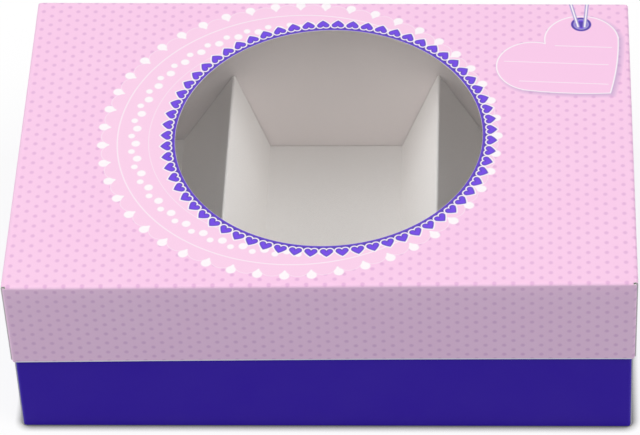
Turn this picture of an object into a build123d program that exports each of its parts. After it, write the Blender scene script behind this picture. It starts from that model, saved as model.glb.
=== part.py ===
from build123d import *
import os

# Sweet box of folding boxboard: a base tray, a lift-off lid with a round film window, and a
# loose divider insert. X runs left to right, Y from the front to the back, Z up. The origin is
# the middle of the base's underside. Every length is in millimetres.

# Lid and closed box, outside
lid_width = 200.0
lid_depth = 131.6
lid_height = 34.9
box_height = 67.7

# Board and its folds
board = 0.4
fold_radius = 0.45
rim_fold_radius = 0.35
crease_width = 1.5
side_wall_setback = 1.0
roll_in_play = 0.2

# Lean of the side walls: the lid's spread out to their cut edges, the base's lean in to the rim
lid_side_spread = 0.15
base_side_lean = 1.8

# Fits between the loose pieces, on each side
lid_play = 0.2
insert_play = 0.3

# Corner flaps, from the outside of the corner to the flap's free edge
lid_flap_length = 40.0
base_flap_length = 48.0
flap_corner_radius = 6.0

# Window in the lid, and the film glued behind it
window_diameter = 100.4
window_shift_right = 1.1
window_shift_back = 1.9
film_size = 121.0
film_corner_radius = 3.0
film_thickness = 0.15
glue_thickness = 0.1
glue_band_width = 5.0
glue_margin = 2.0

# Divider insert: a middle floor between two ridges, and a floor outside each ridge, which rises
# to its ridge because the folded sheet doesn't lie quite flat
middle_floor_width = 46.7
middle_floor_shift_left = 0.9
ridge_base_width = 30.0
ridge_inner_run = 12.0
ridge_lean_right = 1.2
ridge_height = 35.0
outer_crease_lift = 3.4

# Base, worked out from the lid that slides over it: its side walls come lid_play inside the
# lid's where the lid ends, and its rim is the tightest place for the insert
side_wall_thickness = 3 * board
base_height = box_height - board
base_depth = lid_depth - 2 * (board + insert_play)
lean_under_lid = base_side_lean * (box_height - lid_height) / base_height
base_half_width = lid_width / 2 + lid_side_spread - side_wall_thickness - lid_play + lean_under_lid
base_width = 2 * base_half_width
rim_relief = rim_fold_radius + board

UP = (0, 0, 1)
DOWN = (0, 0, -1)
LEFT = (-1, 0, 0)
RIGHT = (1, 0, 0)
FRONT = (0, -1, 0)
BACK = (0, 1, 0)


class Tray:
    """Outside sizes of a folded tray, where its panel's outer face lies, and its side walls' lean."""

    def __init__(self, name, panel, width, depth, height, lean, face, rise, flap_length):
        self.name = name
        self.panel = panel
        self.width = width
        self.depth = depth
        self.height = height
        self.lean = lean
        self.face = face
        self.rise = rise
        self.flap_length = flap_length
        # Side by side on a level line, a leaning board takes a little more than its thickness.
        self.level_board = board * Vector(lean, height).length / height

    def leaned(self, out, level):
        """A point of a side wall's section: it moves in with its distance from the panel."""
        return out - self.lean * level / self.height, level


lid = Tray(
    "lid", "top_panel", lid_width, lid_depth, lid_height, -lid_side_spread, box_height, DOWN,
    lid_flap_length,
)
base = Tray(
    "base", "bottom_panel", base_width, base_depth, base_height, base_side_lean, 0, UP,
    base_flap_length,
)


def save(piece, name):
    piece.part.label = name
    export_step(piece.part, f"parts/{name}.step")


def section_plane(tray, outward):
    """Upright plane through the tray's middle: x runs outwards, y from the panel to the rim."""
    normal = Vector(*outward).cross(Vector(*tray.rise))
    return Plane(origin=(0, 0, tray.face), x_dir=outward, z_dir=normal)


def level_plane(tray, side, end, level):
    """Level plane at a distance from the panel's outer face: x runs to a side, y to an end."""
    normal = Vector(*side).cross(Vector(*end))
    origin = Vector(0, 0, tray.face) + Vector(*tray.rise) * level
    return Plane(origin=origin, x_dir=side, z_dir=normal)


def bent_board(points, radius):
    """Section of one board along a line of points, bent at each inner point."""
    with BuildSketch() as section:
        with BuildLine():
            if len(points) > 2:
                FilletPolyline(*points, radius=radius)
            else:
                Line(*points)
        trace(line_width=board)
    return section.sketch


def make_panel(tray, window_radius=0):
    """Flat panel between the four creases, with a round window where one is asked for."""
    with BuildPart() as panel:
        with BuildSketch(level_plane(tray, RIGHT, BACK, 0)):
            Rectangle(tray.width - 2 * crease_width, tray.depth - 2 * crease_width)
            if window_radius > 0:
                with Locations((window_shift_right, window_shift_back)):
                    Circle(window_radius, mode=Mode.SUBTRACT)
        extrude(amount=board, dir=tray.rise)
    save(panel, f"{tray.name}_{tray.panel}")


def make_end_wall(tray, word, outward):
    """Front or back wall: one board, from the panel's crease to its cut edge."""
    face = tray.depth / 2
    middle = face - board / 2
    half_width = tray.width / 2 - crease_width
    with BuildPart() as wall:
        with BuildSketch(section_plane(tray, outward)):
            points = [
                (face - crease_width, board / 2),
                (middle, board / 2),
                (middle, tray.height),
            ]
            add(bent_board(points, fold_radius))
        extrude(amount=half_width + abs(tray.lean), both=True)
        with BuildSketch(section_plane(tray, RIGHT)):
            near_panel = tray.leaned(half_width, 0)
            cut_edge = tray.leaned(half_width, tray.height)
            with BuildLine():
                Polyline(
                    near_panel,
                    cut_edge,
                    (-cut_edge[0], cut_edge[1]),
                    (-near_panel[0], near_panel[1]),
                    close=True,
                )
            make_face()
        extrude(amount=tray.depth, both=True, mode=Mode.INTERSECT)
    save(wall, f"{tray.name}_{word}_wall")


def make_side_wall(tray, word, outward):
    """Left or right wall's outer board, from the panel's crease to the crease at the rim."""
    face = tray.width / 2
    middle = face - board / 2
    with BuildPart() as wall:
        with BuildSketch(section_plane(tray, outward)):
            points = [
                (face - crease_width, board / 2),
                tray.leaned(middle, board / 2),
                tray.leaned(middle, tray.height - crease_width),
            ]
            add(bent_board(points, fold_radius))
        extrude(amount=tray.depth / 2 - side_wall_setback, both=True)
    save(wall, f"{tray.name}_{word}_wall")


def make_roll_in(tray, word, outward):
    """Board that turns over the rim of a side wall and comes back inside, over the flaps."""
    outer = tray.width / 2 - board / 2
    inner = outer - board - tray.level_board
    rim = tray.height - board / 2
    with BuildPart() as roll:
        with BuildSketch(section_plane(tray, outward)):
            points = [
                tray.leaned(outer, tray.height - crease_width),
                tray.leaned(outer, rim),
                tray.leaned(inner, rim),
                tray.leaned(inner, board + roll_in_play),
            ]
            add(bent_board(points, rim_fold_radius))
        extrude(amount=tray.depth / 2 - side_wall_setback, both=True)
    save(roll, f"{tray.name}_{word}_roll_in")


def make_flap(tray, word, side, end):
    """Corner flap: it turns the end wall's corner and lies between a side wall's two boards."""
    end_middle = tray.depth / 2 - board / 2
    flap_middle = tray.width / 2 - board - tray.level_board / 2
    tail = tray.depth / 2 - tray.flap_length
    tail_length = tray.flap_length - side_wall_setback
    start_x, start_level = tray.leaned(tray.width / 2 - crease_width, crease_width)
    flap_x = tray.leaned(flap_middle, crease_width)[0]
    leaning = Vector(*tray.rise) - Vector(*side) * (tray.lean / tray.height)
    with BuildPart() as flap:
        with BuildSketch(level_plane(tray, side, end, start_level)):
            points = [(start_x, end_middle), (flap_x, end_middle), (flap_x, tail)]
            add(bent_board(points, fold_radius))
        extrude(amount=(tray.height - crease_width) * leaning.length, dir=leaning)
        relief_x, relief_level = tray.leaned(flap_middle, tray.height - rim_relief)
        with BuildSketch(level_plane(tray, side, end, relief_level)):
            with Locations((relief_x, tail + tail_length / 2)):
                Rectangle(2 * board, tail_length)
        extrude(amount=rim_relief, dir=tray.rise, mode=Mode.SUBTRACT)
        free_edge = flap.edges().filter_by(Axis.X).group_by(Axis.Y)
        corners = free_edge[0] if end == BACK else free_edge[-1]
        fillet(corners, radius=flap_corner_radius)
    save(flap, f"{tray.name}_{word}_flap")


def make_tray(tray, window_radius=0):
    """All eleven panels of one blank, folded up."""
    make_panel(tray, window_radius)
    for end_word, end in (("front", FRONT), ("back", BACK)):
        make_end_wall(tray, end_word, end)
    for side_word, side in (("left", LEFT), ("right", RIGHT)):
        make_side_wall(tray, side_word, side)
        make_roll_in(tray, side_word, side)
        for end_word, end in (("front", FRONT), ("back", BACK)):
            make_flap(tray, f"{end_word}_{side_word}", side, end)


def make_film():
    """Clear film behind the window, held clear of the panel by the glue's thickness."""
    glue_face = box_height - board
    film_face = glue_face - glue_thickness
    window_place = Location((window_shift_right, window_shift_back))
    glue_inner_radius = window_diameter / 2 + glue_margin

    with BuildPart() as glue:
        with BuildSketch(Plane.XY.offset(glue_face)):
            with Locations(window_place):
                Circle(glue_inner_radius + glue_band_width)
                Circle(glue_inner_radius, mode=Mode.SUBTRACT)
        extrude(amount=-glue_thickness)
    save(glue, "film_glue_band")

    with BuildPart() as film:
        with BuildSketch(Plane.XY.offset(film_face)):
            with Locations(window_place):
                RectangleRounded(film_size, film_size, film_corner_radius)
        extrude(amount=-film_thickness)
    save(film, "window_film")


def make_insert_panel(name, points):
    """One panel of the insert, from the front of the base's hollow to its back."""
    insert_depth = base_depth - 2 * (board + insert_play)
    with BuildPart() as panel:
        with BuildSketch(Plane.XZ):
            add(bent_board(points, fold_radius))
        extrude(amount=insert_depth / 2, both=True)
    save(panel, f"insert_{name}")


def make_insert():
    """Seven panels of one sheet: three floors and the two faces of each ridge."""
    level = board + board / 2
    peak = board + ridge_height - board / 2
    edge = base_width / 2 - base_side_lean - side_wall_thickness - insert_play
    center = Vector(-middle_floor_shift_left, level)
    middle_edge = Vector(middle_floor_width / 2 - crease_width, 0)
    make_insert_panel("middle_floor", [center - middle_edge, center + middle_edge])
    for word, side in (("left", -1), ("right", 1)):
        inner_foot = center + Vector(side * middle_floor_width / 2, 0)
        outer_foot = inner_foot + Vector(side * ridge_base_width, outer_crease_lift)
        outer_edge = Vector(side * edge, level)
        ridge = Vector(inner_foot.X + side * ridge_inner_run + ridge_lean_right, peak)
        outer_face_start = ridge + (outer_foot - ridge).normalized() * crease_width
        inner_land = inner_foot - Vector(side * crease_width, 0)
        outer_land = outer_foot + (outer_edge - outer_foot).normalized() * crease_width
        make_insert_panel(f"{word}_inner_slope", [inner_land, inner_foot, ridge, outer_face_start])
        make_insert_panel(f"{word}_outer_slope", [outer_face_start, outer_foot, outer_land])
        make_insert_panel(f"{word}_floor", [outer_land, outer_edge])


os.makedirs("parts", exist_ok=True)
make_tray(lid, window_diameter / 2)
make_film()
make_tray(base)
make_insert()
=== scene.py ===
from functools import partial
from math import atan2, cos, hypot, pi, radians, sin, sqrt, tan

import bmesh
import bpy
from mathutils import Euler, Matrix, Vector


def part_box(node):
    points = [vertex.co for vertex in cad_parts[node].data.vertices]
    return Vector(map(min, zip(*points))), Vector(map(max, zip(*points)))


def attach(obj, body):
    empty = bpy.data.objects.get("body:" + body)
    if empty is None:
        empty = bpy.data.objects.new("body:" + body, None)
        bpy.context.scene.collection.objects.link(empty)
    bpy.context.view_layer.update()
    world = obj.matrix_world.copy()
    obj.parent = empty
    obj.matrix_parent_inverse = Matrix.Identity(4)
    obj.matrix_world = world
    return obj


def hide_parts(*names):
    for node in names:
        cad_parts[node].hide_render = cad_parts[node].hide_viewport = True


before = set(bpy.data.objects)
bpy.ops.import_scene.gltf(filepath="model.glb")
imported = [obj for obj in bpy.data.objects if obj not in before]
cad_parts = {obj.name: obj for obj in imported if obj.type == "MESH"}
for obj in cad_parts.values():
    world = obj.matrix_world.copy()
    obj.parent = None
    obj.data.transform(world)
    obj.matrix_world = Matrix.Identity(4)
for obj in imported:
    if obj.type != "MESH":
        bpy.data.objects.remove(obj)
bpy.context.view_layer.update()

bl_info = {
    "name": "Windowed sweet box",
    "version": (1, 0, 0),
    "blender": (4, 5, 0),
    "location": "3D View > Sidebar > Sweet box",
    "description": "Dresses a folding boxboard sweet box: printed lid, film window, base and divider",
    "category": "Object",
}

# Everything is worked out in millimetres and turned into metres when a mesh is made.
MM = 0.001
AXES = {
    "left": Vector((-1, 0, 0)),
    "right": Vector((1, 0, 0)),
    "front": Vector((0, -1, 0)),
    "back": Vector((0, 1, 0)),
}
SIDES = ("left", "right")
ENDS = ("front", "back")


def box_mm(node):
    """Lowest and highest corners of a CAD node at rest, in millimetres."""
    low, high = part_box(node)
    return low / MM, high / MM


class Tray:
    """Outside sizes of one folded tray, read from the frame, in millimetres."""

    def __init__(self, name, panel, printed, rise):
        self.name = name
        self.printed = printed
        self.rise = rise
        panel_low, panel_high = box_mm(f"{name}_{panel}")
        wall_low, wall_high = box_mm(f"{name}_back_wall")
        side_high = box_mm(f"{name}_right_wall")[1]
        flap_low, flap_high = box_mm(f"{name}_back_right_flap")
        self.board = panel_high.z - panel_low.z
        self.depth = 2 * wall_high.y
        self.height = wall_high.z - wall_low.z
        self.face = wall_high.z if rise < 0 else wall_low.z
        self.crease = wall_high.y - panel_high.y
        self.width = 2 * (panel_high.x + self.crease)
        # The side walls lean in by this much at their far edge. It is read where the wall's two
        # boards meet, a crease's width short of that edge.
        roll_high = box_mm(f"{name}_right_roll_in")[1]
        lean_so_far = self.width / 2 - min(side_high.x, roll_high.x)
        self.lean = lean_so_far * self.height / (self.height - self.crease)
        self.setback = self.depth / 2 - side_high.y
        self.flap_length = flap_high.y - flap_low.y


LID = Tray("lid", "top_panel", "lid_print", -1)
BASE = Tray("base", "bottom_panel", "base_print", 1)
GLUE_LOW, GLUE_HIGH = box_mm("film_glue_band")
FILM_LOW, FILM_HIGH = box_mm("window_film")
FLOOR_LOW, FLOOR_HIGH = box_mm("insert_middle_floor")
EDGE_HIGH = box_mm("insert_right_floor")[1]
BOARD = BASE.board

# Material slots of a sheet.
PRINTED_FACE, PLAIN_FACE, CUT_EDGE = range(3)

# Where the faces of a sheet lie on its bake map: the lowest point, and how tall the band is. The
# cut edges lie in narrow strips between the two faces.
SHEET_PRINTED, SHEET_PLAIN = (0.38, 0.61), (0.02, 0.33)
SHEET_SIDE_STRIPS, SHEET_END_STRIPS, SHEET_STRIP_TALL = (0.355, 0.36), (0.365, 0.37), 0.004
RING_PRINTED, RING_PLAIN = (0.3, 0.695), (0.01, 0.25)
RING_STRIPS, RING_STRIP_TALL = (0.27, 0.28), 0.008

# A noise node gives values mostly between these two.
NOISE_RANGE = (0.3, 0.7)


def linear(hex_colour):
    """An sRGB hex colour as linear red, green, blue and alpha."""
    channels = [int(hex_colour[i : i + 2], 16) / 255 for i in (1, 3, 5)]
    toe, slope, offset, power = 0.04045, 12.92, 0.055, 2.4
    bent = [c / slope if c <= toe else ((c + offset) / (1 + offset)) ** power for c in channels]
    return (*bent, 1.0)


def length(name, millimetres, description):
    """A length that the user may change, kept in metres."""
    return bpy.props.FloatProperty(
        name=name, default=millimetres * MM, unit="LENGTH", precision=5, description=description
    )


def colour(name, hex_colour, description):
    """A colour that the user may change."""
    return bpy.props.FloatVectorProperty(
        name=name,
        size=4,
        subtype="COLOR",
        min=0,
        max=1,
        default=linear(hex_colour),
        description=description,
    )


class BoardSizes(bpy.types.PropertyGroup):
    """How the board is folded and how far it gives."""

    fold_radius: length("Fold radius", 0.45, "Radius of a fold, at the middle of the board")
    lid_crease: length("Lid crease radius", 0.8, "Radius of the softer folds round the lid's top")
    corner_fold: length("Corner fold radius", 0.8, "Radius of the folds at a tray's upright corners")
    rim_fold_radius: length("Rim fold radius", 0.35, "Radius of the two folds at a side wall's rim")
    rim_relief: length("Rim relief", 0.75, "How far a flap's edge stays back from the rolled rim")
    corner_fill: length("Corner fill", 0.35, "How much longer a side wall is at its panel's crease")
    flap_corner: length("Flap corner", 6.0, "Radius of a corner flap's free corners")
    roll_in_play: length("Roll-in play", 0.2, "Room between a rolled-in board's edge and the panel")
    print_bleed: length("Print bleed", 4.0, "How far the print runs past a side wall's rim")
    window_radius: length("Window radius", 50.2, "Radius of the die-cut window in the lid")
    window_right: length("Window right", 1.1, "How far the window lies right of the lid's middle")
    window_back: length("Window back", 1.9, "How far the window lies behind the lid's middle")
    ridge_base: length("Ridge base", 30.0, "Distance between a ridge's two feet")
    ridge_run: length("Ridge run", 12.0, "Distance from a ridge's inner foot to its top, level")
    ridge_lean: length("Ridge lean", 1.2, "How far both ridges lean to the right")
    ridge_height: length("Ridge height", 35.0, "Height of the ridges above the base's bottom panel")
    crease_lift: length("Crease lift", 3.4, "How far the ridges' outer feet stand above the middle floor")
    film_corner: length("Film corner", 3.0, "Radius of the film's corners")
    lid_bow: length("Lid bow", 0.38, "How far a lid wall's free edge bows inwards")
    base_side_bow: length("Base side bow", 0.9, "How far the rim of a base side wall bows inwards")
    base_end_bow: length("Base end bow", 0.34, "How far the base's front and back rims bow inwards")
    panel_sag: length("Panel sag", 0.3, "How far the middle of the lid's top sags")
    twist: length("Twist", 1.0, "How far the lid's corners stand up and down by turns")


class PrintSizes(bpy.types.PropertyGroup):
    """Sizes of the ornament printed on the lid."""

    dot_pitch: length("Dot pitch", 2.94, "Half the distance between dots in a row")
    dot_rows: length("Dot rows", 2.17, "Distance between rows of dots")
    dot_radius: length("Dot radius", 0.68, "Radius of a ground dot")
    hearts: bpy.props.IntProperty(name="Hearts", default=67, min=3, description="Hearts round the window")
    heart_tip: length("Heart tip", 55.05, "Radius of the ring that the hearts' tips point to")
    scallops: bpy.props.IntProperty(name="Scallops", default=47, min=3, description="Scallops of the lace")
    lace_radius: length("Lace radius", 64.6, "Radius of the ring of dots at the lace's edge, sideways")
    lace_stretch: bpy.props.FloatProperty(
        name="Lace stretch", default=1.028, min=0.5, max=2, description="How much wider the lace is than deep"
    )
    tag_turn: bpy.props.FloatProperty(
        name="Tag turn", default=radians(128.9), subtype="ANGLE", description="Direction from the tag's tip"
    )
    tag_skew: bpy.props.FloatProperty(
        name="Tag skew", default=radians(2.3), subtype="ANGLE", description="How far the tag is skewed"
    )


class BoxColours(bpy.types.PropertyGroup):
    """Inks, boards and floor."""

    pink: colour("Pink", "#F4C6E5", "Ground of the lid's print")
    dot: colour("Dot", "#E3B0D8", "Small dots on the lid's ground")
    lace: colour("Lace", "#F4CBE5", "Ground inside the lace")
    white: colour("White", "#F8F1F5", "White of the lace, the outlines and the tag")
    heart: colour("Heart", "#6F46DC", "Hearts and the band round the window")
    band: colour("Band", "#4C34A4", "Darker edge of the hearts, the band and the eyelet")
    shadow: colour("Printed shadow", "#B49AC4", "Printed shadow under the tag")
    string: colour("String", "#9D96CC", "Edges of the tag's strings")
    violet: colour("Violet", "#340CA9", "Ink of the base")
    coated: colour("Coated board", "#F6F3F0", "Coated face of the board where nothing is printed")
    back: colour("Board back", "#F8EFED", "Uncoated back of the lid's and the base's board")
    card: colour("Divider card", "#F8F5F2", "Faces of the divider's board")
    edge: colour("Cut edge", "#DCD6D2", "Die-cut edge of the board")
    glue: colour("Glue", "#F0EEE8", "Dried adhesive")
    film: colour("Film", "#F4F7F8", "Clear film")
    floor: colour("Floor", "#A1B6BB", "Studio floor, as it lights the box")


def sizes():
    return bpy.context.scene.sweet_box_sizes


def print_sizes():
    return bpy.context.scene.sweet_box_print


def colours():
    return bpy.context.scene.sweet_box_colours


# Meshes of folded board


def turned(vector, angle):
    """A flat vector, turned to the left by an angle."""
    x = vector.x * cos(angle) - vector.y * sin(angle)
    y = vector.x * sin(angle) + vector.y * cos(angle)
    return Vector((x, y))


def folded_line(corners, radius, end_round=0.0, step=6.0):
    """Middle line of a bent board: a row of (point, normal, length so far), with the corners rounded.
    The normal points to the printed side, on the right of the line. end_round adds rows where the
    free end's corners are rounded."""
    corners = [Vector(corner) for corner in corners]
    arc_steps = 6
    rows = []
    gone = 0.0

    def put_row(point, direction, travelled):
        rows.append((point, Vector((direction.y, -direction.x)), travelled))

    start = corners[0]
    for i in range(1, len(corners)):
        direction = (corners[i] - start).normalized()
        stop = corners[i]
        trim = 0.0
        if i < len(corners) - 1:
            ahead = (corners[i + 1] - corners[i]).normalized()
            cross = direction.x * ahead.y - direction.y * ahead.x
            turn = atan2(cross, direction.dot(ahead))
            trim = radius * tan(abs(turn) / 2)
            stop = corners[i] - direction * trim
        run = (stop - start).length
        rounded = end_round if i == len(corners) - 1 else 0.0
        count = max(1, round((run - rounded) / step))
        marks = [(run - rounded) * k / count for k in range(count + 1)]
        if rounded:
            shares = [sin(pi / 2 * k / arc_steps) for k in range(1, arc_steps + 1)]
            marks += [run - rounded + rounded * share for share in shares]
        for mark in marks:
            put_row(start + direction * mark, direction, gone + mark)
        gone += run
        if i < len(corners) - 1:
            side = Vector((-direction.y, direction.x)) * (1 if turn > 0 else -1)
            centre = stop + side * radius
            for k in range(1, arc_steps):
                angle = turn * k / arc_steps
                point = centre + turned(stop - centre, angle)
                put_row(point, turned(direction, angle), gone + radius * abs(angle))
            gone += radius * abs(turn)
            start = corners[i] + ahead * trim
    return rows


def finish_piece(name, verts, flats, faces, slots, uvs, finishes):
    """Makes the mesh object: flat_mm holds each point's place on the unfolded blank, in millimetres."""
    mesh = bpy.data.meshes.new(name)
    mesh.from_pydata([Vector(v) * MM for v in verts], [], faces)
    mesh.polygons.foreach_set("material_index", slots)
    flat = mesh.attributes.new("flat_mm", "FLOAT_VECTOR", "POINT")
    flat.data.foreach_set("vector", [value for row in flats for value in row])
    layer = mesh.uv_layers.new(name="OFBake")
    for polygon in mesh.polygons:
        for loop, uv in zip(polygon.loop_indices, uvs[polygon.index]):
            layer.data[loop].uv = uv
    for finish in finishes:
        mesh.materials.append(finish)
    work = bmesh.new()
    work.from_mesh(mesh)
    bmesh.ops.recalc_face_normals(work, faces=work.faces)
    work.to_mesh(mesh)
    work.free()
    mesh.shade_smooth()
    mesh.set_sharp_from_angle(angle=radians(50))
    piece = bpy.data.objects.new(name, mesh)
    bpy.context.collection.objects.link(piece)
    return piece


def strip_uvs(low, high, strip, tall):
    """Corners of a cut edge's face on the bake map."""
    return [(low, strip), (high, strip), (high, strip + tall), (low, strip + tall)]


def even_span(reach):
    """A sheet that reaches equally far to both sides all along its line."""
    return lambda gone: (-reach, reach)


def upright(x, z, y):
    """Puts a point of a section that is drawn in x and z in space."""
    return Vector((x, y, z))


def board_piece(name, rows, span, place, flat, finishes, columns, thickness=None):
    """A sheet that follows rows of a bent line. span gives where the sheet starts and ends across
    the line, place puts a point of the section in space, and flat puts it on the blank."""
    thickness = thickness or BOARD
    verts, flats = [], []
    for side in (0.5, -0.5):
        for point, normal, gone in rows:
            low, high = span(gone)
            for column in range(columns + 1):
                across = low + (high - low) * column / columns
                corner = point + normal * side * thickness
                verts.append(place(corner.x, corner.y, across))
                flats.append((*flat(gone, across), 0.0))
    stride = columns + 1
    last = len(rows) - 1
    back = stride * len(rows)
    faces, slots, uvs = [], [], []

    def put_face(corners, slot, uv):
        faces.append(corners)
        slots.append(slot)
        uvs.append(uv)

    total = rows[-1][2]
    sides = ((PRINTED_FACE, 0, SHEET_PRINTED), (PLAIN_FACE, back, SHEET_PLAIN))
    for row in range(last):
        low, high = (rows[row + k][2] / total for k in (0, 1))
        for column in range(columns):
            a = row * stride + column
            left, right = column / columns, (column + 1) / columns
            ring = (a, a + 1, a + 1 + stride, a + stride)
            for slot, shift, (bottom, tall) in sides:
                v0, v1 = bottom + tall * low, bottom + tall * high
                uv = [(left, v0), (right, v0), (right, v1), (left, v1)]
                corners = [k + shift for k in ring]
                if slot == PLAIN_FACE:
                    corners.reverse()
                    uv.reverse()
                put_face(corners, slot, uv)
        for column, strip in zip((0, columns), SHEET_SIDE_STRIPS):
            a = row * stride + column
            uv = strip_uvs(low, high, strip, SHEET_STRIP_TALL)
            put_face((a, a + stride, a + stride + back, a + back), CUT_EDGE, uv)
    for row, strip in zip((0, last), SHEET_END_STRIPS):
        for column in range(columns):
            a = row * stride + column
            left, right = column / columns, (column + 1) / columns
            uv = strip_uvs(left, right, strip, SHEET_STRIP_TALL)
            put_face((a, a + 1, a + 1 + back, a + back), CUT_EDGE, uv)
    return finish_piece(name, verts, flats, faces, slots, uvs, finishes)


def ring_piece(name, hub, angles, inner, outer, face, drop, shape, finishes, rings):
    """A flat sheet between two outlines round a hub: inner and outer give the radius at an angle."""
    # The mesh's rings lie closer together towards the inner outline.
    crowding = 1.6
    verts, flats = [], []
    for level in (face, face - drop):
        for ring in range(rings + 1):
            share = (ring / rings) ** crowding
            for angle in angles:
                radius = inner(angle) + (outer(angle) - inner(angle)) * share
                x, y = hub.x + radius * cos(angle), hub.y + radius * sin(angle)
                verts.append(shape(Vector((x, y, level))))
                flats.append((x, y, 0.0))
    count = len(angles)
    back = count * (rings + 1)
    reach = Vector((max(abs(f[0]) for f in flats), max(abs(f[1]) for f in flats)))

    def layout(index, bottom, tall):
        half_wide = 0.495
        x, y = flats[index][:2]
        return (0.5 + half_wide * x / reach.x, bottom + tall * (0.5 + 0.5 * y / reach.y))

    faces, slots, uvs = [], [], []
    for ring in range(rings):
        for k in range(count):
            a, b = ring * count + k, ring * count + (k + 1) % count
            top = (a, a + count, b + count, b)
            faces.append(top)
            slots.append(PRINTED_FACE)
            uvs.append([layout(i, *RING_PRINTED) for i in top])
            under = tuple(i + back for i in reversed(top))
            faces.append(under)
            slots.append(PLAIN_FACE)
            uvs.append([layout(i, *RING_PLAIN) for i in under])
    for ring, strip in zip((0, rings), RING_STRIPS):
        for k in range(count):
            a, b = ring * count + k, ring * count + (k + 1) % count
            faces.append((a, b, b + back, a + back))
            slots.append(CUT_EDGE)
            uvs.append(strip_uvs(k / count, (k + 1) / count, strip, RING_STRIP_TALL))
    return finish_piece(name, verts, flats, faces, slots, uvs, finishes)


def eased(tray, point):
    """A point of a tray, leant with the side walls, and moved inwards as thin board gives between
    its folds. Pieces that share a fold move alike there, so they still meet."""
    point = Vector(point)
    held = sizes()
    side_bow = (held.lid_bow if tray is LID else held.base_side_bow) / MM
    end_bow = (held.lid_bow if tray is LID else held.base_end_bow) / MM
    risen = abs(point.z - tray.face) / tray.height
    along_x, along_y = cos(pi * point.x / tray.width), cos(pi * point.y / tray.depth)
    moved = point.copy()
    moved.x *= 1 - risen * tray.lean / (tray.width / 2)
    near_wall = 0.95
    if abs(point.x) > near_wall * tray.width / 2:
        moved.x -= side_bow * along_y * risen**2 * (1 if point.x > 0 else -1)
    if abs(point.y) > near_wall * tray.depth / 2:
        moved.y -= end_bow * along_x * risen**2 * (1 if point.y > 0 else -1)
    # Points this near the lid's top are on its panel, which sags.
    panel_share = 0.06
    if tray is LID and risen < panel_share:
        moved.z -= held.panel_sag / MM * along_x * along_y
    # The base's foot stands flat, and its rim follows the lid.
    share = 1.0 if tray is LID else min(1.0, risen)
    moved.z -= held.twist / MM * share * point.x * point.y / (LID.width * LID.depth / 4)
    return moved


def crease_radius(tray):
    """Radius of the folds round a tray's panel, in millimetres."""
    return (sizes().lid_crease if tray is LID else sizes().fold_radius) / MM


def tray_finishes(tray):
    printed = lid_print() if tray is LID else base_print()
    return [printed, board_back(), cut_edge()]


def settle(piece, body, slot, *nodes):
    """Says which body a piece rides on and what it stands for. Its slot is not used."""
    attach(piece, body)
    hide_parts(*nodes)


def make_end_wall(tray, word):
    """Front or back wall, from the panel's crease to the cut edge."""
    outward = AXES[word]
    half = tray.depth / 2
    middle = half - BOARD / 2
    corners = [(half - tray.crease, BOARD / 2), (middle, BOARD / 2), (middle, tray.height)]
    rows = folded_line(corners, crease_radius(tray))
    reach = tray.width / 2 - tray.crease

    def place(out, rise, across):
        return eased(tray, outward * out + Vector((across, 0, tray.face + tray.rise * rise)))

    def flat(gone, across):
        return across, outward.y * (half - tray.crease + gone)

    name = f"{tray.name}_{word}_board"
    finishes = tray_finishes(tray)
    piece = board_piece(name, rows, even_span(reach), place, flat, finishes, columns=40)
    settle(piece, tray.name, tray.printed, f"{tray.name}_{word}_wall")


def make_side_wall(tray, word):
    """Outer board of a side wall, and the board that turns over its rim and comes back inside."""
    outward = AXES[word]
    half = tray.width / 2
    outer = half - BOARD / 2
    inner = outer - 2 * BOARD
    rim = tray.height - BOARD / 2
    reach = tray.depth / 2 - tray.setback
    fuller = sizes().corner_fill / MM
    fade = 3 * tray.crease
    wall = [(half - tray.crease, BOARD / 2), (outer, BOARD / 2), (outer, tray.height - tray.crease)]
    tail = BOARD + sizes().roll_in_play / MM
    roll = [(outer, tray.height - tray.crease), (outer, rim), (inner, rim), (inner, tail)]
    wall_rows = folded_line(wall, crease_radius(tray))
    roll_rows = folded_line(roll, sizes().rim_fold_radius / MM)
    wall_length = wall_rows[-1][2]

    def place(out, rise, across):
        return eased(tray, outward * out + Vector((0, across, tray.face + tray.rise * rise)))

    def wall_span(gone):
        # At the panel's crease the wall is a little longer, so the corner's hole is small.
        end = reach + fuller * max(0.0, 1 - gone / fade)
        return -end, end

    for part, rows, span, start in (
        ("wall", wall_rows, wall_span, 0.0),
        ("roll_in", roll_rows, even_span(reach), wall_length),
    ):

        def flat(gone, across):
            return outward.x * (half - tray.crease + start + gone), across

        name = f"{tray.name}_{word}_{part}_board"
        piece = board_piece(name, rows, span, place, flat, tray_finishes(tray), columns=28)
        settle(piece, tray.name, tray.printed, f"{tray.name}_{word}_{part}")


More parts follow.
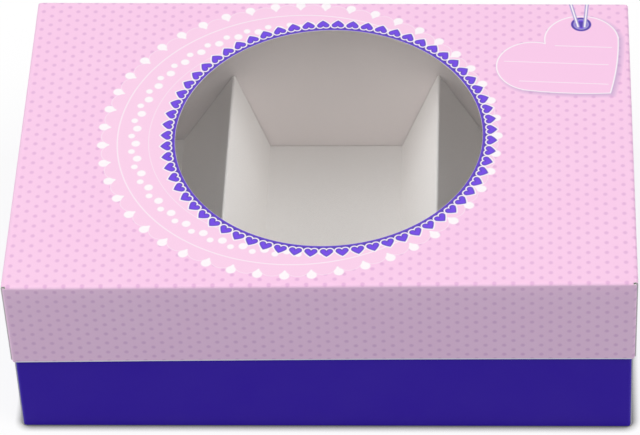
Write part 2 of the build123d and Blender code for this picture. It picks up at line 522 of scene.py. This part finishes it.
def make_flap(tray, end_word, side_word):
    """Corner flap: it turns the end wall's corner and lies between a side wall's two boards."""
    side, end = AXES[side_word], AXES[end_word]
    end_middle = tray.depth / 2 - BOARD / 2
    flap_middle = tray.width / 2 - BOARD - BOARD / 2
    start_out = tray.width / 2 - tray.crease
    tail = tray.depth / 2 - tray.flap_length
    corner = sizes().flap_corner / MM
    relief = sizes().rim_relief / MM
    points = [(start_out, end_middle), (flap_middle, end_middle), (flap_middle, tail)]
    rows = folded_line(points, sizes().corner_fold / MM, end_round=corner)
    # The line turns the other way here, so the printed side is on its left.
    rows = [(point, -normal, gone) for point, normal, gone in rows]
    total = rows[-1][2]
    # The relief at the rim grows to its full depth over this length.
    fade = tray.setback + tray.crease
    start_level = (BOARD + crease_radius(tray)) / 2

    def span(gone):
        # Up to its fold the flap is as tall as the end wall's flat part. Past it, it clears the panel.
        past_fold = min(1.0, max(0.0, gone - 2 * BOARD) / tray.crease)
        low = start_level + (tray.crease - start_level) * past_fold
        cut = relief * min(1.0, gone / fade) ** 2
        past = max(0.0, gone - (total - corner))
        rounded = corner - sqrt(max(0.0, corner**2 - past**2))
        return low + rounded, tray.height - cut - rounded

    def place(out, along, level):
        return eased(tray, side * out + end * along + Vector((0, 0, tray.face + tray.rise * level)))

    def flat(gone, level):
        return side.x * (start_out + gone), end.y * (tray.depth / 2 - tray.crease + level)

    name = f"{tray.name}_{end_word}_{side_word}_flap_board"
    piece = board_piece(name, rows, span, place, flat, tray_finishes(tray), columns=12)
    settle(piece, tray.name, tray.printed, f"{tray.name}_{end_word}_{side_word}_flap")


def window_hub():
    return Vector((sizes().window_right / MM, sizes().window_back / MM))


def make_lid_top():
    """Top panel with the die-cut round window."""
    hub = window_hub()
    reach_x, reach_y = LID.width / 2 - LID.crease, LID.depth / 2 - LID.crease
    count = 240
    angles = [2 * pi * k / count for k in range(count)]
    for x in (-reach_x, reach_x):
        for y in (-reach_y, reach_y):
            angles.append(atan2(y - hub.y, x - hub.x) % (2 * pi))
    angles = sorted(angles)

    def to_edge(start, run, reach):
        """How far a ray goes before it meets the panel's edge. One that runs along it never does."""
        along_edge = 1e-9
        if abs(run) < along_edge:
            return float("inf")
        return ((reach if run > 0 else -reach) - start) / run

    def outline(angle):
        return min(to_edge(hub.x, cos(angle), reach_x), to_edge(hub.y, sin(angle), reach_y))

    radius = sizes().window_radius / MM
    piece = ring_piece(
        "lid_top_window_board",
        hub,
        angles,
        lambda angle: radius,
        outline,
        LID.face,
        BOARD,
        partial(eased, LID),
        tray_finishes(LID),
        rings=12,
    )
    settle(piece, "lid", "lid_print", "lid_top_panel")


def make_film():
    """Clear film behind the window, and the band of glue that holds it."""
    hub = (GLUE_LOW + GLUE_HIGH) / 2
    outer = (GLUE_HIGH.x - GLUE_LOW.x) / 2
    inner = glue_inner_radius()
    count = 160
    glue = dried_glue()
    band = ring_piece(
        "film_glue_ring",
        hub,
        [2 * pi * k / count for k in range(count)],
        lambda angle: inner,
        lambda angle: outer,
        GLUE_HIGH.z,
        GLUE_HIGH.z - GLUE_LOW.z,
        partial(eased, LID),
        [glue, glue, glue],
        rings=2,
    )
    settle(band, "lid", "film_glue", "film_glue_band")

    half = (FILM_HIGH.x - FILM_LOW.x) / 2
    thickness = FILM_HIGH.z - FILM_LOW.z
    middle = (FILM_HIGH + FILM_LOW) / 2
    corner = sizes().film_corner / MM
    # The film is drawn from its middle outwards, with the left half as the right one's mirror image.
    drawn = folded_line([(0, 0), (half, 0)], radius=0, end_round=corner, step=5.0)
    left = [(Vector((-point.x, 0)), normal, half - gone) for point, normal, gone in reversed(drawn)]
    right = [(point, normal, half + gone) for point, normal, gone in drawn[1:]]

    def span(gone):
        past = max(0.0, abs(gone - half) - (half - corner))
        rounded = corner - sqrt(max(0.0, corner**2 - past**2))
        return -half + rounded, half - rounded

    def place(x, level, y):
        return eased(LID, Vector((middle.x + x, middle.y + y, middle.z + level)))

    clear = clear_film()
    piece = board_piece(
        "clear_window_film",
        left + right,
        span,
        place,
        lambda gone, y: (gone, y),
        [clear, clear, clear],
        columns=24,
        thickness=thickness,
    )
    settle(piece, "lid", "clear_film", "window_film")


def glue_inner_radius():
    """Inner radius of the glue band, from its mesh in the frame."""
    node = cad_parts["film_glue_band"]
    hub = (GLUE_LOW + GLUE_HIGH) / 2
    return min(hypot(v.co.x / MM - hub.x, v.co.y / MM - hub.y) for v in node.data.vertices)


def make_base_panel():
    """Bottom panel of the base, which stands on the table."""
    reach_x, reach_y = BASE.width / 2 - BASE.crease, BASE.depth / 2 - BASE.crease
    rows = folded_line([(-reach_x, BOARD / 2), (reach_x, BOARD / 2)], radius=0, step=8.0)
    piece = board_piece(
        "base_bottom_board",
        rows,
        even_span(reach_y),
        upright,
        lambda gone, y: (gone - reach_x, y),
        tray_finishes(BASE),
        columns=16,
    )
    settle(piece, "base", "base_print", "base_bottom_panel")


def make_insert():
    """The divider: one sheet, folded into three floors and two ridges."""
    held = sizes()
    level = FLOOR_LOW.z + BOARD / 2
    peak = FLOOR_LOW.z + held.ridge_height / MM - BOARD / 2
    centre = (FLOOR_LOW.x + FLOOR_HIGH.x) / 2
    crease = BASE.crease
    middle_half = (FLOOR_HIGH.x - FLOOR_LOW.x) / 2 + crease
    reach = FLOOR_HIGH.y
    card = divider_card()

    def panel(word, corners):
        rows = folded_line([Vector(c) for c in corners], held.fold_radius / MM, step=5.0)
        piece = board_piece(
            f"divider_{word}_card",
            rows,
            even_span(reach),
            upright,
            lambda gone, y: (gone, y),
            [card, card, cut_edge()],
            columns=20,
        )
        settle(piece, "insert", "plain_board", f"insert_{word}")

    inner = middle_half - crease
    panel("middle_floor", [(centre - inner, level), (centre + inner, level)])
    for word, side in (("left", -1), ("right", 1)):
        inner_foot = Vector((centre + side * middle_half, level))
        outer_foot = inner_foot + Vector((side * held.ridge_base / MM, held.crease_lift / MM))
        ridge = Vector((inner_foot.x + side * held.ridge_run / MM + held.ridge_lean / MM, peak))
        outer_edge = Vector((side * EDGE_HIGH.x, level))
        over = ridge + (outer_foot - ridge).normalized() * crease
        inner_land = inner_foot - Vector((side * crease, 0))
        outer_land = outer_foot + (outer_edge - outer_foot).normalized() * crease
        panel(f"{word}_inner_slope", [inner_land, inner_foot, ridge, over])
        panel(f"{word}_outer_slope", [over, outer_foot, outer_land])
        panel(f"{word}_floor", [outer_land, outer_edge])


# Materials


def add_node(tree, kind, inputs=(), **settings):
    """Adds one shader node, applies its settings, and sets or links its inputs: by place among
    the inputs in use, or by name."""
    node = tree.nodes.new("ShaderNode" + kind)
    for name, value in settings.items():
        setattr(node, name, value)
    live = [socket for socket in node.inputs if socket.enabled]
    named = inputs.items() if isinstance(inputs, dict) else enumerate(inputs)
    for key, source in named:
        socket = live[key] if isinstance(key, int) else node.inputs[key]
        if isinstance(source, bpy.types.Node):
            source = next(output for output in source.outputs if output.enabled)
        if isinstance(source, bpy.types.NodeSocket):
            tree.links.new(source, socket)
        else:
            socket.default_value = source
    return node


def new_material(name):
    """An empty node material and the call that adds nodes to it."""
    material = bpy.data.materials.new(name)
    material.use_nodes = True
    material.node_tree.nodes.clear()
    return material, partial(add_node, material.node_tree)


def board_surface(put, ink, roughness, fibre, depth, shine=0.2):
    """Closes a board material: ink on a sheet whose fibres show as a faint relief, fibre mm wide and
    depth mm deep. shine is the specular level: coatings differ in how much they mirror."""
    place = put("TexCoord")
    # Paper fibres are about 0.03 mm wide. They are drawn some ten times as coarse, to show at all.
    grain = put("TexNoise", (place.outputs["Object"], 1 / (fibre * MM), 3.0, 0.6))
    uneven = put("MapRange", (grain, *NOISE_RANGE, roughness - 0.04, roughness + 0.05))
    relief = put("Bump", (1.0, depth * MM, 1.0, grain))
    shader = put(
        "BsdfPrincipled",
        {
            "Base Color": ink,
            "Roughness": uneven,
            "IOR": 1.5,
            "Specular IOR Level": shine,
            "Normal": relief,
        },
    )
    put("OutputMaterial", (shader,))


def from_hub(put, place, hub):
    """Distance from a hub, and the direction from it."""
    arm = put("VectorMath", (place, (*hub, 0)), operation="SUBTRACT")
    parts = put("SeparateXYZ", (arm,))
    radius = put("VectorMath", (arm,), operation="LENGTH")
    return radius, put("Math", (parts.outputs[1], parts.outputs[0]), operation="ARCTAN2")


def in_sector(put, radius, angle, count, start):
    """Splits the plane round a hub into equal sectors, the first with its middle at start. Gives
    the point (distance from the hub, arc length from the sector's middle)."""
    half = pi / count
    away = put("Math", (angle, start), operation="SUBTRACT")
    local = put("Math", (away, half, -half), operation="WRAP")
    arc = put("Math", (local, radius), operation="MULTIPLY")
    return put("CombineXYZ", (radius, arc, 0.0))


def past_rim(put, place, tray):
    """1 on the rolled-in part of a side wall that the print leaves bare, a bleed past the rim."""
    parts = put("SeparateXYZ", (place,))
    out = put("Math", (parts.outputs[0],), operation="ABSOLUTE")
    stop = tray.width / 2 + tray.height + sizes().print_bleed / MM
    blur = 0.1
    return put("MapRange", (out, stop - blur, stop + blur, 0.0, 1.0))


def inside(put, distance, edge, blur=0.14):
    """1 where a distance is below an edge and 0 beyond it, as soft as printed ink."""
    return put("MapRange", (distance, edge + blur, edge - blur, 0.0, 1.0))


def heart_distance(put, across, along, lobe_out, lobe_up, lobe, side):
    """Distance to a heart with its tip at (0, 0): two round lobes, and sides that bulge as arcs of
    the radius side on their way to the tip."""
    reach = hypot(lobe_out, lobe_up)
    toward = Vector((lobe_out, lobe_up, 0)) / reach
    run = (reach**2 + 2 * side * lobe - lobe**2) / (2 * reach)
    side_hub = toward * run + Vector((-toward.y, toward.x, 0)) * sqrt(side**2 - run**2)
    notch = sqrt(max(0.0, lobe**2 - lobe_out**2))
    mirrored = put("Math", (across,), operation="ABSOLUTE")
    point = put("CombineXYZ", (mirrored, along, 0.0))
    to_lobe = put("VectorMath", (point, (lobe_out, lobe_up, 0)), operation="DISTANCE")
    in_lobe = put("Math", (to_lobe, lobe), operation="SUBTRACT")
    to_side = put("VectorMath", (point, side_hub), operation="DISTANCE")
    in_side = put("Math", (to_side, side), operation="SUBTRACT")
    shifted = put("VectorMath", (point, (lobe_out, lobe_up, 0)), operation="SUBTRACT")
    above = put("VectorMath", (shifted, (notch / lobe, lobe_out / lobe, 0)), operation="DOT_PRODUCT")
    in_body = put("Math", (in_side, above), operation="MAXIMUM")
    return put("Math", (in_lobe, in_body), operation="MINIMUM")


def stroke_distance(put, place, start, end):
    """Distance to a straight line between two points."""
    start, end = Vector((*start, 0)), Vector((*end, 0))
    line = end - start
    arm = put("VectorMath", (place, start), operation="SUBTRACT")
    reach = put("VectorMath", (arm, line / line.length_squared), operation="DOT_PRODUCT")
    held = put("Math", (reach, 1.0), operation="MULTIPLY", use_clamp=True)
    foot = put("VectorMath", {"Vector": line, "Scale": held}, operation="SCALE")
    return put("VectorMath", (arm, foot), operation="DISTANCE")


def dots_mask(put, place, origin):
    """Staggered rows of small round dots."""
    printed = print_sizes()
    pitch, rows = printed.dot_pitch / MM, printed.dot_rows / MM
    spots = []
    for x, y in (origin, (origin[0] + pitch, origin[1] + rows)):
        moved = put("VectorMath", (place, (x, y, 0)), operation="SUBTRACT")
        cell = put("VectorMath", (moved, (pitch, rows, 0), (-pitch, -rows, 0)), operation="WRAP")
        spots.append(put("VectorMath", (cell,), operation="LENGTH"))
    nearest = put("Math", spots, operation="MINIMUM")
    return inside(put, nearest, printed.dot_radius / MM, blur=0.28)


def lace_layers(put, place):
    """The lace round the window: its ground, and its white lines and dots."""
    printed, ink = print_sizes(), colours()
    rim = printed.lace_radius / MM
    hub = (-8.4, 1.5)
    count = printed.scallops
    stretch = printed.lace_stretch
    evened = put("VectorMath", (place, (1, stretch, 1)), operation="MULTIPLY")
    first_dot = radians(-0.05)
    radius, angle = from_hub(put, evened, (hub[0], hub[1] * stretch))
    at_dot = in_sector(put, radius, angle, count, first_dot)
    between = in_sector(put, radius, angle, count, first_dot + pi / count)
    # Each scallop is a dome of this height on the chord between two dots, a little past the rim.
    dome_height, dome_past = 2.8, 0.3
    half_chord = rim * sin(pi / count)
    dome = (half_chord**2 + dome_height**2) / (2 * dome_height)
    dome_hub = (rim + dome_past - dome, 0, 0)
    to_dome = put("VectorMath", (between, dome_hub), operation="DISTANCE")
    in_dome = inside(put, to_dome, dome)
    in_disc = inside(put, radius, rim - dome_height)
    ground = put("Math", (in_dome, in_disc), operation="MAXIMUM")
    layers = [(ground, ink.lace)]

    off_dome = put("Math", (to_dome, dome), operation="SUBTRACT")
    dome_line = inside(put, put("Math", (off_dome,), operation="ABSOLUTE"), 0.1)
    # The domes' outline shows only near the rim, and fainter than the dots.
    past = put("MapRange", (radius, rim - 3.0, rim - 2.4, 0.0, 0.55))
    layers.append((put("Math", (dome_line, past), operation="MULTIPLY"), ink.white))

    # How far inside the rim a spot lies, and its radius. The first three make a drop.
    spots = ((at_dot, 0.0, 1.6), (at_dot, 1.3, 0.75), (at_dot, 2.1, 0.35))
    spots += ((at_dot, 11.1, 1.4), (between, 9.6, 1.1))
    for cell, depth, size in spots:
        away = put("VectorMath", (cell, (rim - depth, 0, 0)), operation="DISTANCE")
        layers.append((inside(put, away, size, blur=0.2), ink.white))
    # How far inside the rim a thin ring lies, half its width, and its strength.
    for depth, width, strength in ((5.05, 0.2, 0.7), (15.3, 0.1, 0.6)):
        off = put("Math", (radius, rim - depth), operation="SUBTRACT")
        line = inside(put, put("Math", (off,), operation="ABSOLUTE"), width)
        layers.append((put("Math", (line, strength), operation="MULTIPLY"), ink.white))
    return ground, layers


def window_layers(put, place):
    """The ring of hearts and the violet band at the window's edge."""
    printed, ink = print_sizes(), colours()
    tip = printed.heart_tip / MM
    cut = sizes().window_radius / MM
    lobe_up = 2.42
    first_heart = radians(2.65)
    radius, angle = from_hub(put, place, window_hub())
    cell = in_sector(put, radius, angle, printed.hearts, first_heart)
    parts = put("SeparateXYZ", (cell,))
    inward = put("Math", (tip, radius), operation="SUBTRACT")
    heart = heart_distance(
        put, parts.outputs[1], inward, lobe_out=1.02, lobe_up=lobe_up, lobe=1.08, side=8.0
    )
    # The band reaches out to the hearts, and is lighter along the cut. The cut itself shows white.
    light_band = put("Math", (inside(put, radius, cut + 0.75), 0.45), operation="MULTIPLY")
    return [
        (inside(put, radius, tip - lobe_up), ink.band),
        (light_band, ink.heart),
        (inside(put, heart, 0.42), ink.white),
        (inside(put, heart, 0.0), ink.band),
        (inside(put, heart, -0.3, blur=0.25), ink.heart),
        (inside(put, radius, cut + 0.05, blur=0.08), ink.white),
    ]


def tag_layers(put, place):
    """A blank heart-shaped tag with an eyelet, two strings and three writing lines."""
    printed, ink = print_sizes(), colours()
    tip = Vector((93.3, 21.25, 0))
    turn, turn_across = printed.tag_turn, printed.tag_turn + printed.tag_skew
    up, out = (cos(turn), sin(turn), 0), (sin(turn_across), -cos(turn_across), 0)

    def heart_at(origin):
        arm = put("VectorMath", (place, origin), operation="SUBTRACT")
        across = put("VectorMath", (arm, out), operation="DOT_PRODUCT")
        along = put("VectorMath", (arm, up), operation="DOT_PRODUCT")
        return heart_distance(put, across, along, lobe_out=10.3, lobe_up=26.2, lobe=12.2, side=125.0)

    shadow_shift = Vector((0.8, -0.8, 0))
    shade = inside(put, heart_at(tip + shadow_shift), 0.2, blur=1.1)
    heart = heart_at(tip)
    eyelet = (84.05, 55.15, 0)
    to_eyelet = put("VectorMath", (place, eyelet), operation="DISTANCE")
    layers = [
        (put("Math", (shade, 0.75), operation="MULTIPLY"), ink.shadow),
        (inside(put, heart, 0.0), ink.white),
        (inside(put, heart, -0.4), ink.pink),
    ]
    writing_lines = (
        ((75.3, 44.6), (94.0, 43.7)),
        ((58.3, 37.0), (92.7, 35.2)),
        ((63.3, 27.4), (92.5, 25.7)),
    )
    for start, end in writing_lines:
        line = stroke_distance(put, place, start, end)
        layers.append((inside(put, line, 0.12), ink.white))
    layers += [
        (inside(put, to_eyelet, 3.4), ink.band),
        (inside(put, to_eyelet, 2.6), ink.string),
        (inside(put, to_eyelet, 2.1), ink.heart),
        (inside(put, to_eyelet, 1.5, blur=0.3), ink.band),
    ]
    strings = (((80.5, 66.5), (83.0, 54.0)), ((86.3, 66.5), (85.2, 54.0)))
    for start, end in strings:
        line = stroke_distance(put, place, start, end)
        layers += [(inside(put, line, 0.62, blur=0.2), ink.string), (inside(put, line, 0.24), ink.white)]
    return layers


def made_once(build):
    """Keeps each material after its first use."""
    kept = {}

    def give():
        if build.__name__ not in kept:
            kept[build.__name__] = build()
        return kept[build.__name__]

    return give


@made_once
def lid_print():
    """Clay-coated folding boxboard, offset printed and sealed with a satin aqueous coat."""
    material, put = new_material("coated_boxboard_offset_printed_pink")
    ink = colours()
    place = put("Attribute", attribute_name="flat_mm").outputs["Vector"]
    ground, lace = lace_layers(put, place)
    # Offset ink lies a little uneven, in clouds some 25 mm across.
    cloud = put("TexNoise", (place, 1 / 25, 2.0, 0.5))
    pale = put("MapRange", (cloud, *NOISE_RANGE, 0.0, 0.05))
    paint = put("Mix", (pale, ink.pink, ink.white), data_type="RGBA")
    first_dot = (-80.0, 0.1)
    dots = dots_mask(put, place, first_dot)
    free = put("Math", (1.0, ground), operation="SUBTRACT")
    layers = [(put("Math", (dots, free), operation="MULTIPLY"), ink.dot)]
    layers += lace + window_layers(put, place) + tag_layers(put, place)
    for mask, tint in layers:
        paint = put("Mix", (mask, paint, tint), data_type="RGBA")
    # Along the cut edges of the front and back walls the paint turns almost white, in a pale line 0.75 mm
    # wide.
    parts = put("SeparateXYZ", (place,))
    from_middle = put("Math", (parts.outputs[1],), operation="ABSOLUTE")
    pale_line, blur = 0.75, 0.1
    trim = LID.depth / 2 + LID.height - BOARD - pale_line
    edge = put("MapRange", (from_middle, trim - blur, trim + blur, 0.0, 0.9))
    paint = put("Mix", (edge, paint, ink.white), data_type="RGBA")
    paint = put("Mix", (past_rim(put, place, LID), paint, ink.coated), data_type="RGBA")
    board_surface(put, paint, roughness=0.45, fibre=0.35, depth=0.004, shine=0.35)
    return material


@made_once
def base_print():
    """Clay-coated folding boxboard, printed with a solid deep violet and sealed with a satin coat."""
    material, put = new_material("coated_boxboard_offset_printed_violet")
    ink = colours()
    place = put("Attribute", attribute_name="flat_mm").outputs["Vector"]
    # A solid ink shows the faint cloudiness of the press, some 20 mm across.
    cloud = put("TexNoise", (place, 1 / 20, 3.0, 0.55))
    share = put("MapRange", (cloud, *NOISE_RANGE, 0.0, 0.012))
    paint = put("Mix", (share, ink.violet, ink.shadow), data_type="RGBA")
    paint = put("Mix", (past_rim(put, place, BASE), paint, ink.coated), data_type="RGBA")
    board_surface(put, paint, roughness=0.42, fibre=0.35, depth=0.004, shine=0.12)
    return material


def plain_board(name, tint):
    """Board as it leaves the machine: matt, with pale fibres and flecks about a millimetre across."""
    material, put = new_material(name)
    place = put("TexCoord")
    fleck = put("TexNoise", (place.outputs["Object"], 1 / (1.2 * MM), 4.0, 0.7))
    share = put("MapRange", (fleck, 0.35, 0.7, 0.0, 0.1))
    paint = put("Mix", (share, tint, colours().edge), data_type="RGBA")
    board_surface(put, paint, roughness=0.8, fibre=0.45, depth=0.01)
    return material


@made_once
def board_back():
    """Uncoated back of folding boxboard, a little warm from its mechanical pulp."""
    return plain_board("boxboard_uncoated_back", colours().back)


@made_once
def divider_card():
    """Uncoated bleached board, whiter than the trays' back."""
    return plain_board("bleached_board_uncoated", colours().card)


@made_once
def cut_edge():
    """Die-cut edge of the board: pale crushed fibre, darker between the plies."""
    material, put = new_material("boxboard_die_cut_edge")
    ink = colours()
    place = put("TexCoord")
    ply = put("TexNoise", (place.outputs["Object"], 1 / (0.3 * MM), 2.0, 0.6))
    share = put("MapRange", (ply, 0.4, 0.8, 0.0, 0.25))
    paint = put("Mix", (share, ink.edge, ink.shadow), data_type="RGBA")
    board_surface(put, paint, roughness=0.85, fibre=0.3, depth=0.02)
    return material


@made_once
def dried_glue():
    """Water-based adhesive, rolled on in a band and dried: cloudy and slightly shiny."""
    material, put = new_material("dispersion_adhesive_dried")
    place = put("TexCoord")
    streak = put("TexNoise", (place.outputs["Object"], 1 / (2.5 * MM), 3.0, 0.6))
    rough = put("MapRange", (streak, *NOISE_RANGE, 0.3, 0.55))
    shader = put("BsdfPrincipled", {"Base Color": colours().glue, "Roughness": rough, "Alpha": 0.6})
    put("OutputMaterial", (shader,))
    return material


@made_once
def clear_film():
    """Cast polypropylene film: clear, so mostly its soft gloss shows."""
    material, put = new_material("polypropylene_film_cast_clear")
    place = put("TexCoord")
    # Thin film lies in very shallow waves some 30 mm apart.
    wave = put("TexNoise", (place.outputs["Object"], 1 / (30 * MM), 1.0, 0.4))
    relief = put("Bump", (1.0, 0.05 * MM, 1.0, wave))
    shader = put(
        "BsdfPrincipled",
        {
            "Base Color": colours().film,
            "Roughness": 0.12,
            "IOR": 1.5,
            "Alpha": 0.035,
            "Normal": relief,
        },
    )
    put("OutputMaterial", (shader,))
    return material


# Stage

WHITE = (1.0, 1.0, 1.0, 1.0)
LAMP_AIM = Vector((0, 0, 0.06))
# Name, place and size in metres, and power in watts.
LAMPS = (
    ("overhead_softbox", (0.0, 0.0, 1.35), 0.8, 1.2),
    ("left_softbox", (-1.76, -0.54, 1.9), 2.0, 41.0),
    ("right_softbox", (1.76, -0.5, 1.9), 2.0, 35.2),
)


def seen_directly(put):
    """1 for the rays that show the backdrop itself: from the camera, mirrored or through glass."""
    path = put("LightPath")
    seen = path.outputs["Is Camera Ray"]
    for name in ("Is Glossy Ray", "Is Transmission Ray"):
        seen = put("Math", (seen, path.outputs[name]), operation="MAXIMUM")
    return seen


def make_floor():
    """A floor that is seen as white, with a part of the box's shadow and a painted line of shade, drawn with
    ambient occlusion, where the box stands on it. The light it throws back on the box has the floor colour."""
    span = 4.0
    corners = [(-span, -span, 0), (span, -span, 0), (span, span, 0), (-span, span, 0)]
    mesh = bpy.data.meshes.new("studio_floor")
    mesh.from_pydata(corners, [], [(0, 1, 2, 3)])
    floor = bpy.data.objects.new("studio_floor", mesh)
    bpy.context.scene.collection.objects.link(floor)
    material, put = new_material("paper_backdrop_matt_white")
    sheet = put("BsdfDiffuse", {"Color": WHITE})
    # Painted contact shade: ambient occlusion dims the floor's glow next to the box. Where the box hides half
    # of what a point sees within 3 mm, next to no glow is left.
    painted_contact_shade = put("AmbientOcclusion", {"Distance": 3 * MM}, samples=16)
    glow_with_painted_shade = put("MapRange", (painted_contact_shade.outputs["AO"], 0.5, 1.0, 0.05, 1.0))
    glow = put("Emission", {"Color": WHITE, "Strength": glow_with_painted_shade})
    glow_share = 0.85
    seen = put("MixShader", (glow_share, sheet, glow))
    lit = put("BsdfDiffuse", {"Color": colours().floor})
    put("OutputMaterial", (put("MixShader", (seen_directly(put), lit, seen)),))
    mesh.materials.append(material)


def make_world():
    """A plain white surround that lights the box at a part of the strength it is seen at."""
    world = bpy.data.worlds.new("studio_white")
    world.use_nodes = True
    world.node_tree.nodes.clear()
    put = partial(add_node, world.node_tree)
    as_light, as_seen = 0.31, 1.0
    strength = put("MapRange", (seen_directly(put), 0.0, 1.0, as_light, as_seen))
    put("OutputWorld", (put("Background", {"Color": WHITE, "Strength": strength}),))
    bpy.context.scene.world = world


def make_stage():
    """Floor, soft light and the camera."""
    make_floor()
    make_world()
    scene = bpy.context.scene
    for name, place, size, watts in LAMPS:
        lamp = bpy.data.lights.new(name, "AREA")
        lamp.shape = "SQUARE"
        lamp.size = size
        lamp.energy = watts
        holder = bpy.data.objects.new(name, lamp)
        holder.location = place
        holder.rotation_euler = (LAMP_AIM - holder.location).to_track_quat("-Z", "Y").to_euler()
        scene.collection.objects.link(holder)

    camera = bpy.data.cameras.new("product_camera")
    camera.lens = 196.668
    camera.sensor_width = 36.0
    camera.clip_end = 20.0
    eye = bpy.data.objects.new("product_camera", camera)
    eye.location = (0.06005, -0.81182, 0.8647)
    eye.rotation_euler = Euler([radians(angle) for angle in (44.274, 2.2662, 2.1248)])
    scene.collection.objects.link(eye)
    scene.camera = eye
    scene.view_settings.view_transform = "Standard"


class SWEETBOX_OT_lid_top(bpy.types.Operator):
    """Make the lid's printed top panel with its round window"""

    bl_idname = "sweet_box.lid_top"
    bl_label = "Lid top"

    def execute(self, context):
        make_lid_top()
        return {"FINISHED"}


class SWEETBOX_OT_end_walls(bpy.types.Operator):
    """Make the front and back walls of the lid and the base"""

    bl_idname = "sweet_box.end_walls"
    bl_label = "Front and back walls"

    def execute(self, context):
        for tray in (LID, BASE):
            for word in ENDS:
                make_end_wall(tray, word)
        return {"FINISHED"}


class SWEETBOX_OT_side_walls(bpy.types.Operator):
    """Make the side walls of the lid and the base with the boards rolled in over their rims"""

    bl_idname = "sweet_box.side_walls"
    bl_label = "Side walls"

    def execute(self, context):
        for tray in (LID, BASE):
            for word in SIDES:
                make_side_wall(tray, word)
        return {"FINISHED"}


class SWEETBOX_OT_flaps(bpy.types.Operator):
    """Make the corner flaps that lie inside the side walls"""

    bl_idname = "sweet_box.flaps"
    bl_label = "Corner flaps"

    def execute(self, context):
        for tray in (LID, BASE):
            for end_word in ENDS:
                for side_word in SIDES:
                    make_flap(tray, end_word, side_word)
        return {"FINISHED"}


class SWEETBOX_OT_film(bpy.types.Operator):
    """Make the window's clear film and the glue that holds it"""

    bl_idname = "sweet_box.film"
    bl_label = "Window film"

    def execute(self, context):
        make_film()
        return {"FINISHED"}


class SWEETBOX_OT_base_panel(bpy.types.Operator):
    """Make the base's bottom panel"""

    bl_idname = "sweet_box.base_panel"
    bl_label = "Base bottom"

    def execute(self, context):
        make_base_panel()
        return {"FINISHED"}


class SWEETBOX_OT_divider(bpy.types.Operator):
    """Make the folded divider card"""

    bl_idname = "sweet_box.divider"
    bl_label = "Divider"

    def execute(self, context):
        make_insert()
        return {"FINISHED"}


class SWEETBOX_OT_stage(bpy.types.Operator):
    """Make the floor, the soft light and the camera"""

    bl_idname = "sweet_box.stage"
    bl_label = "Stage"

    def execute(self, context):
        make_stage()
        return {"FINISHED"}


OPERATORS = (
    SWEETBOX_OT_lid_top,
    SWEETBOX_OT_end_walls,
    SWEETBOX_OT_side_walls,
    SWEETBOX_OT_flaps,
    SWEETBOX_OT_film,
    SWEETBOX_OT_base_panel,
    SWEETBOX_OT_divider,
    SWEETBOX_OT_stage,
)


class SWEETBOX_PT_panel(bpy.types.Panel):
    """Lists the steps that make the sweet box"""

    bl_idname = "SWEETBOX_PT_panel"
    bl_label = "Sweet box"
    bl_space_type = "VIEW_3D"
    bl_region_type = "UI"
    bl_category = "Sweet box"

    def draw(self, context):
        for operator in OPERATORS:
            self.layout.operator(operator.bl_idname)


CLASSES = (BoardSizes, PrintSizes, BoxColours, *OPERATORS, SWEETBOX_PT_panel)
GROUPS = {
    "sweet_box_sizes": BoardSizes,
    "sweet_box_print": PrintSizes,
    "sweet_box_colours": BoxColours,
}


def register():
    for cls in CLASSES:
        bpy.utils.register_class(cls)
    for name, group in GROUPS.items():
        setattr(bpy.types.Scene, name, bpy.props.PointerProperty(type=group))


def unregister():
    for name in GROUPS:
        delattr(bpy.types.Scene, name)
    for cls in reversed(CLASSES):
        bpy.utils.unregister_class(cls)


def main():
    register()
    for operator in OPERATORS:
        group, name = operator.bl_idname.split(".")
        getattr(getattr(bpy.ops, group), name)()


if __name__ == "__main__":
    main()
